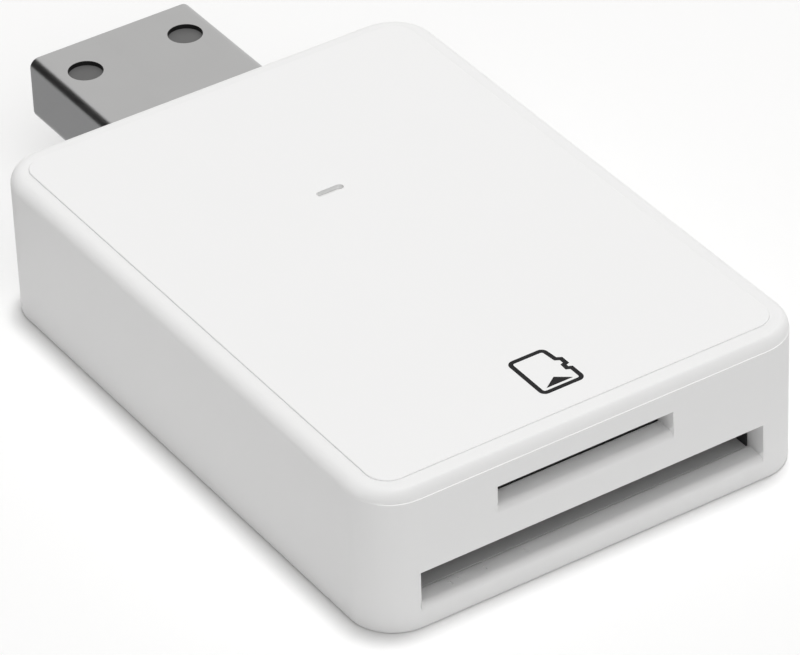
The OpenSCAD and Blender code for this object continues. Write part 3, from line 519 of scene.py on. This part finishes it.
def buildPanel(shape):
    top = solidBox("top_panel")[1].z
    caseLow, caseHigh = solidBox("case_tub")
    caseWidth, caseLength = caseHigh.x - caseLow.x, caseHigh.y - caseLow.y
    middle, under = (caseLow.y + caseHigh.y) / 2, top - shape["thickness"]
    bm = bmesh.new()
    base = roundedPlate(bm, caseWidth - 2 * shape["inset"], caseLength - 2 * shape["inset"], shape["corner"],
                        shape["cornerSteps"], (0, middle, under))
    pull(bm, [base], (0, 0, top - under), leave=[base])
    roundEdges(bm, edgesWhere(bm, lambda co: co.z > top - tiny), shape["edgeRound"], shape["edgeSteps"])
    lampWindow(bm, shape, (top, under))
    for side in (-1, 1):
        for share in case["hooks"]:
            bar(bm, [(side * (shape["hookX"] + x), under + z) for x, z in shape["hookProfile"]],
                middle + share * caseLength - shape["hookWidth"] / 2, shape["hookWidth"])
        path = [(0, under + sink), (shape["postRadius"], under + sink),
                (shape["postRadius"], shape["postFoot"]), (shape["bore"], shape["postFoot"]),
                (shape["bore"], shape["boreTop"]), (0, shape["boreTop"])]
        centre = (side * case["boss"][0], case["boss"][1], 0)
        line = [bm.verts.new((centre[0] + x, centre[1], z)) for x, z in path]
        wire = [bm.edges.new(pair) for pair in zip(line, line[1:])]
        bmesh.ops.spin(bm, geom=line + wire, cent=centre, axis=(0, 0, 1), dvec=(0, 0, 0), angle=math.tau,
                       steps=shape["postSteps"], use_merge=True)
    return bm


# The clear pipe under the lamp slot

pipe = {"nodes": ["light_pipe"], "slot": "pipe_plastic",
        "neck": (1.86, 0.51), "flange": (3.4, 2.0), "flangeHeight": 0.5, "stem": (1.6, 0.9),
        "endSteps": 10, "flangeSteps": 14, "crown": 0.03, "crownSteps": 2}


def roundBar(bm, size, bottom, top, steps):
    length, width = size
    base = roundedPlate(bm, length, width, width / 2 - tiny, steps, (*panel["lampPlace"], bottom))
    pull(bm, [base], (0, 0, top - bottom), leave=[base])


def buildPipe(shape):
    low, high = solidBox("light_pipe")
    flangeTop = solidBox("top_panel")[1].z - panel["thickness"]
    flangeLow = flangeTop - shape["flangeHeight"]
    bm = bmesh.new()
    roundBar(bm, shape["neck"], flangeLow, high.z, shape["endSteps"])
    bmesh.ops.remove_doubles(bm, verts=bm.verts, dist=endMerge)
    roundEdges(bm, edgesWhere(bm, lambda co: co.z > high.z - tiny), shape["crown"], shape["crownSteps"])
    roundBar(bm, shape["flange"], flangeLow, flangeTop, shape["flangeSteps"])
    roundBar(bm, shape["stem"], low.z, flangeLow + sink, shape["endSteps"])
    return bm


# The plug's folded shell: two skins, four windows, a seam underneath and two wings on the board

shell = {"nodes": ["usb_shell"], "slot": "plug_steel",
         "width": 12.1, "height": 4.5, "level": 5.95, "sheet": 0.3, "bend": 0.65, "bendSteps": 12,
         "tipRound": 0.12, "tipSteps": 3, "windowRadius": 1.15, "windowPitch": 7.5, "windowFromTip": 3.3,
         # the walls of the windows, and a thin ring round them, are painted dark as shade
         "windowSteps": 48, "windowPatch": 1.5, "windowShade": 0.01, "shadeColour": (0.05, 0.05, 0.05),
         "seam": 0.06, "wingY": 11.25, "wingLength": 1.2, "wingReach": 1.6, "boardTop": 5.9, "legLow": 4.6}


def punchWindow(bm, shape, x, y, levels):
    # a round hole through the sheet, cut in a square patch of each skin
    half = shape["windowPatch"]
    rims = []
    for level in levels:
        face = cutWindow(bm, 2, level, (x - half, y - half, level), (x + half, y + half, level))
        circle = bmesh.ops.create_circle(bm, segments=shape["windowSteps"],
                                         radius=shape["windowRadius"])["verts"]
        place(bm, circle, (x, y, level))
        ring = list(dict.fromkeys(e for v in circle for e in v.link_edges))
        square = list(face.edges)
        remove(bm, [face])
        bmesh.ops.triangle_fill(bm, edges=square + ring, use_beauty=True)
        rims += ring
    bmesh.ops.bridge_loops(bm, edges=rims)


def buildShell(shape):
    low, high = solidBox("usb_shell")
    rear, tip, level = low.y, high.y, shape["level"]
    bm = bmesh.new()
    end = roundedPlate(bm, shape["width"], shape["height"], shape["bend"], shape["bendSteps"],
                       (0, rear, level), Matrix.Rotation(-math.pi / 2, 3, "X"))
    wall = bmesh.ops.inset_region(bm, faces=[end], thickness=shape["sheet"], use_even_offset=True,
                                  use_boundary=True)["faces"]
    remove(bm, [end])
    pull(bm, wall, (0, tip - rear, 0), leave=wall)
    rims = [e for e in edgesWhere(bm, lambda co: co.y > tip - tiny)
            if any(abs(f.normal.y) < alongShare for f in e.link_faces)]
    roundEdges(bm, rims, shape["tipRound"], shape["tipSteps"])
    for up in (-1, 1):
        for side in (-1, 1):
            punchWindow(bm, shape, side * shape["windowPitch"] / 2, tip - shape["windowFromTip"],
                        [level + up * (shape["height"] / 2 - depth) for depth in (0, shape["sheet"])])
    for side in (-1, 1):
        splitFaces(bm, list(bm.faces), 0, side * shape["seam"] / 2)
    middles = [(f, f.calc_center_median()) for f in bm.faces]
    remove(bm, [f for f, m in middles if abs(m.x) < shape["seam"] / 2 and m.z < level])
    bmesh.ops.holes_fill(bm, edges=[e for e in bm.edges if len(e.link_faces) == 1], sides=0)
    inner, outer = (shape["width"] - shape["sheet"]) / 2, shape["width"] / 2 + shape["wingReach"]
    under, over = shape["boardTop"], shape["boardTop"] + shape["sheet"]
    wing = ((inner, under), (inner, over), (outer, over), (outer, shape["legLow"]),
            (outer - shape["sheet"], shape["legLow"]), (outer - shape["sheet"], under))
    for side in (-1, 1):
        bar(bm, [(side * x, z) for x, z in wing], shape["wingY"] - shape["wingLength"] / 2,
            shape["wingLength"])
    return bm


def paintWindowShade(tree, shape):
    # painted shade: the walls of the plug's windows, and a thin ring round them, are coloured near black,
    # standing in for the shade and dark reflections inside the holes
    centre = (shape["windowPitch"] / 2 * mm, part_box("usb_shell")[1].y - shape["windowFromTip"] * mm, 0)
    where = addNode(tree, "ShaderNodeTexCoord", {}).outputs["Object"]
    apart = addNode(tree, "ShaderNodeSeparateXYZ", {"Vector": where})
    side = addNode(tree, "ShaderNodeMath", {0: apart.outputs["X"]}, operation="ABSOLUTE")
    flat = addNode(tree, "ShaderNodeCombineXYZ", {"X": side.outputs[0], "Y": apart.outputs["Y"]})
    reach = addNode(tree, "ShaderNodeVectorMath", {0: flat.outputs["Vector"], 1: centre},
                    operation="DISTANCE")
    edge = (shape["windowRadius"] + shape["windowShade"]) * mm
    # mask of the painted shade: within this distance of a window's centre the steel is painted near black
    within = combine(tree, "LESS_THAN", reach.outputs["Value"], edge)
    colour = tree.nodes["Principled BSDF"].inputs["Base Color"]
    tree.links.new(mixColours(tree, within, colour.links[0].from_socket, shape["shadeColour"]), colour)


# Inner pieces keep their solids' shapes, with their sharp edges broken

brokenTurn, brokenSteps = math.radians(40), 2
sameFaceTurn = math.radians(1)
brokenEdges = {
    "plugInsulator": {"nodes": ["usb_insulator"], "slot": "insulator_plastic", "edge": 0.08},
    "plugContacts": {"nodes": ["usb_contacts"], "slot": "contact_gold", "edge": 0.03},
    "wideSocketBase": {"nodes": ["sd_socket_base"], "slot": "socket_plastic", "edge": 0.04},
    "wideSocketCover": {"nodes": ["sd_socket_cover"], "slot": "socket_steel", "edge": 0.03},
    "smallSocketBase": {"nodes": ["microsd_socket_base"], "slot": "socket_plastic", "edge": 0.04},
    "smallSocketCover": {"nodes": ["microsd_socket_cover"], "slot": "socket_steel", "edge": 0.03},
    "wideContactArms": {"nodes": ["sd_contact_arms"], "slot": "contact_gold", "edge": 0.03,
                        "body": "sd_contacts"},
    "controllerBody": {"nodes": ["controller_chip"], "slot": "chip_plastic", "edge": 0.08},
}


def breakEdges(look):
    bm = bmesh.new()
    bm.from_mesh(frame["nodes"][look["nodes"][0]].data)
    bmesh.ops.scale(bm, vec=(1 / mm, 1 / mm, 1 / mm), verts=bm.verts)
    bmesh.ops.remove_doubles(bm, verts=bm.verts, dist=solidMerge)
    bmesh.ops.dissolve_limit(bm, angle_limit=sameFaceTurn, verts=bm.verts, edges=bm.edges)
    roundEdges(bm, cornerEdges(bm, lambda co: True, brokenTurn), look["edge"], brokenSteps)
    return bm


# the plug's steel gets painted shade in and around its windows
paintWindowShade(finishes["plug_steel"].node_tree, shell)
for name, look, build in (("caseTub", case, buildCase), ("topPanel", panel, buildPanel),
                          ("lightPipe", pipe, buildPipe), ("plugShell", shell, buildShell)):
    finishPiece(build(look), name, look)
for name, look in brokenEdges.items():
    finishPiece(breakEdges(look), name, look)


# Floor, light and camera

stageLook = {
    "size": 3000, "drop": 0.02, "background": (0.985, 0.975, 0.955), "sky": 0.26,
    "floorSeen": 0.964, "floorBounce": 0.92, "floorTone": 0.995, "cardTone": 0.9,
    "lamps": {
        "keyLamp": {"level": 0.558, "angle": 10, "from": (0.08, 0.055, 1.0), "glossy": False},
        "fillLamp": {"level": 0.24, "angle": 60, "from": (-0.1, -0.62, 0.78), "glossy": True}},
    "cards": {
        "darkCard": {"size": (60, 68), "place": (-35, 56.5, 23.0), "towards": (-6, 22, 1.4), "level": 0.01},
        "greyCard": {"size": (56, 70), "place": (-35, 55, 0.2), "towards": (-35, 55, 9), "level": 0.5}}}


def backdropRay(tree):
    # one for the rays that see the background, straight or in metal and glass
    rays = addNode(tree, "ShaderNodeLightPath", {}).outputs
    either = combine(tree, "MAXIMUM", rays["Is Camera Ray"], rays["Is Glossy Ray"])
    return combine(tree, "MAXIMUM", either, rays["Is Transmission Ray"])


def addSheet(name, size, where, material, hiddenFrom=()):
    # a flat piece of the stage
    bm = bmesh.new()
    verts = bmesh.ops.create_grid(bm, x_segments=1, y_segments=1, size=0.5)["verts"]
    bmesh.ops.scale(bm, vec=(*size, 1), verts=verts)
    bmesh.ops.transform(bm, matrix=where, verts=verts)
    bmesh.ops.scale(bm, vec=(mm, mm, mm), verts=verts)
    mesh = bpy.data.meshes.new(name)
    bm.to_mesh(mesh)
    bm.free()
    mesh.materials.append(material)
    sheet = bpy.data.objects.new(name, mesh)
    for ray in hiddenFrom:
        setattr(sheet, "visible_" + ray, False)
    bpy.context.scene.collection.objects.link(sheet)


def addFloor(look):
    # the camera sees the floor white, and the object is lit by a slightly greyer one
    material, tree, shader, where = startMaterial("paleFloor", {"Roughness": 0.9, "Specular IOR Level": 0.0})
    level = remap(tree, backdropRay(tree), look["floorBounce"], look["floorSeen"])
    tone = remap(tree, noise(tree, where, *patterns["floorTone"]), 1.0, look["floorTone"])
    tree.links.new(combine(tree, "MULTIPLY", level, tone), shader.inputs["Base Color"])
    addSheet("floor", (look["size"], look["size"]), Matrix.Translation((0, 0, -look["drop"])), material)


def addCard(name, look, tone):
    # a card that shows in reflections only, and gives the plug's steel its bright and dark bands
    material, tree, shader, where = startMaterial(name, {"Roughness": 1.0, "Specular IOR Level": 0.0})
    shade = mixColours(tree, noise(tree, where, *patterns["cardTone"]), (look["level"],) * 3,
                       (tone * look["level"],) * 3)
    tree.links.new(shade, shader.inputs["Base Color"])
    middle, towards = Vector(look["place"]), Vector(look["towards"])
    turn = (towards - middle).to_track_quat("Z", "Y").to_matrix().to_4x4()
    addSheet(name, look["size"], Matrix.Translation(middle) @ turn, material,
             ("camera", "diffuse", "transmission", "volume_scatter", "shadow"))


def addLight(look):
    world = bpy.data.worlds.new("studio")
    world.use_nodes = True
    tree = world.node_tree
    back = tree.nodes["Background"]
    back.inputs["Color"].default_value = (*look["background"], 1)
    tree.links.new(remap(tree, backdropRay(tree), look["sky"], 1.0), back.inputs["Strength"])
    bpy.context.scene.world = world
    for name, one in look["lamps"].items():
        lamp = bpy.data.lights.new(name, "SUN")
        lamp.energy = one["level"] * math.pi
        lamp.angle = math.radians(one["angle"])
        lampObject = bpy.data.objects.new(name, lamp)
        lampObject.visible_glossy = one["glossy"]
        lampObject.rotation_mode = "QUATERNION"
        lampObject.rotation_quaternion = Vector(one["from"]).to_track_quat("Z", "Y")
        bpy.context.scene.collection.objects.link(lampObject)


cameraLook = {"place": (-144.038, -236.62, 196.718), "azimuth": -32.048, "elevation": 35.357, "roll": -2.275,
              "lens": 245.344, "sensor": 36.0, "clip": (0.01, 10)}


def addCamera(look):
    azimuth, elevation, roll = (math.radians(look[key]) for key in ("azimuth", "elevation", "roll"))
    back = Vector((math.sin(azimuth) * math.cos(elevation), -math.cos(azimuth) * math.cos(elevation),
                   math.sin(elevation)))
    levelRight = (-back).cross(Vector((0, 0, 1))).normalized()
    levelUp = levelRight.cross(-back)
    right = levelRight * math.cos(roll) + levelUp * math.sin(roll)
    up = levelUp * math.cos(roll) - levelRight * math.sin(roll)
    camera = bpy.data.objects.new("photoCamera", bpy.data.cameras.new("photoCamera"))
    camera.data.lens = look["lens"]
    camera.data.sensor_width = look["sensor"]
    camera.data.clip_start, camera.data.clip_end = look["clip"]
    turn = Matrix((right, up, back)).transposed().to_4x4()
    camera.matrix_world = Matrix.Translation(Vector(look["place"]) * mm) @ turn
    bpy.context.scene.collection.objects.link(camera)
    bpy.context.scene.camera = camera


addFloor(stageLook)
for name, look in stageLook["cards"].items():
    addCard(name, look, stageLook["cardTone"])
addLight(stageLook)
addCamera(cameraLook)
bpy.context.scene.view_settings.view_transform = "Standard"
print("stage ready")
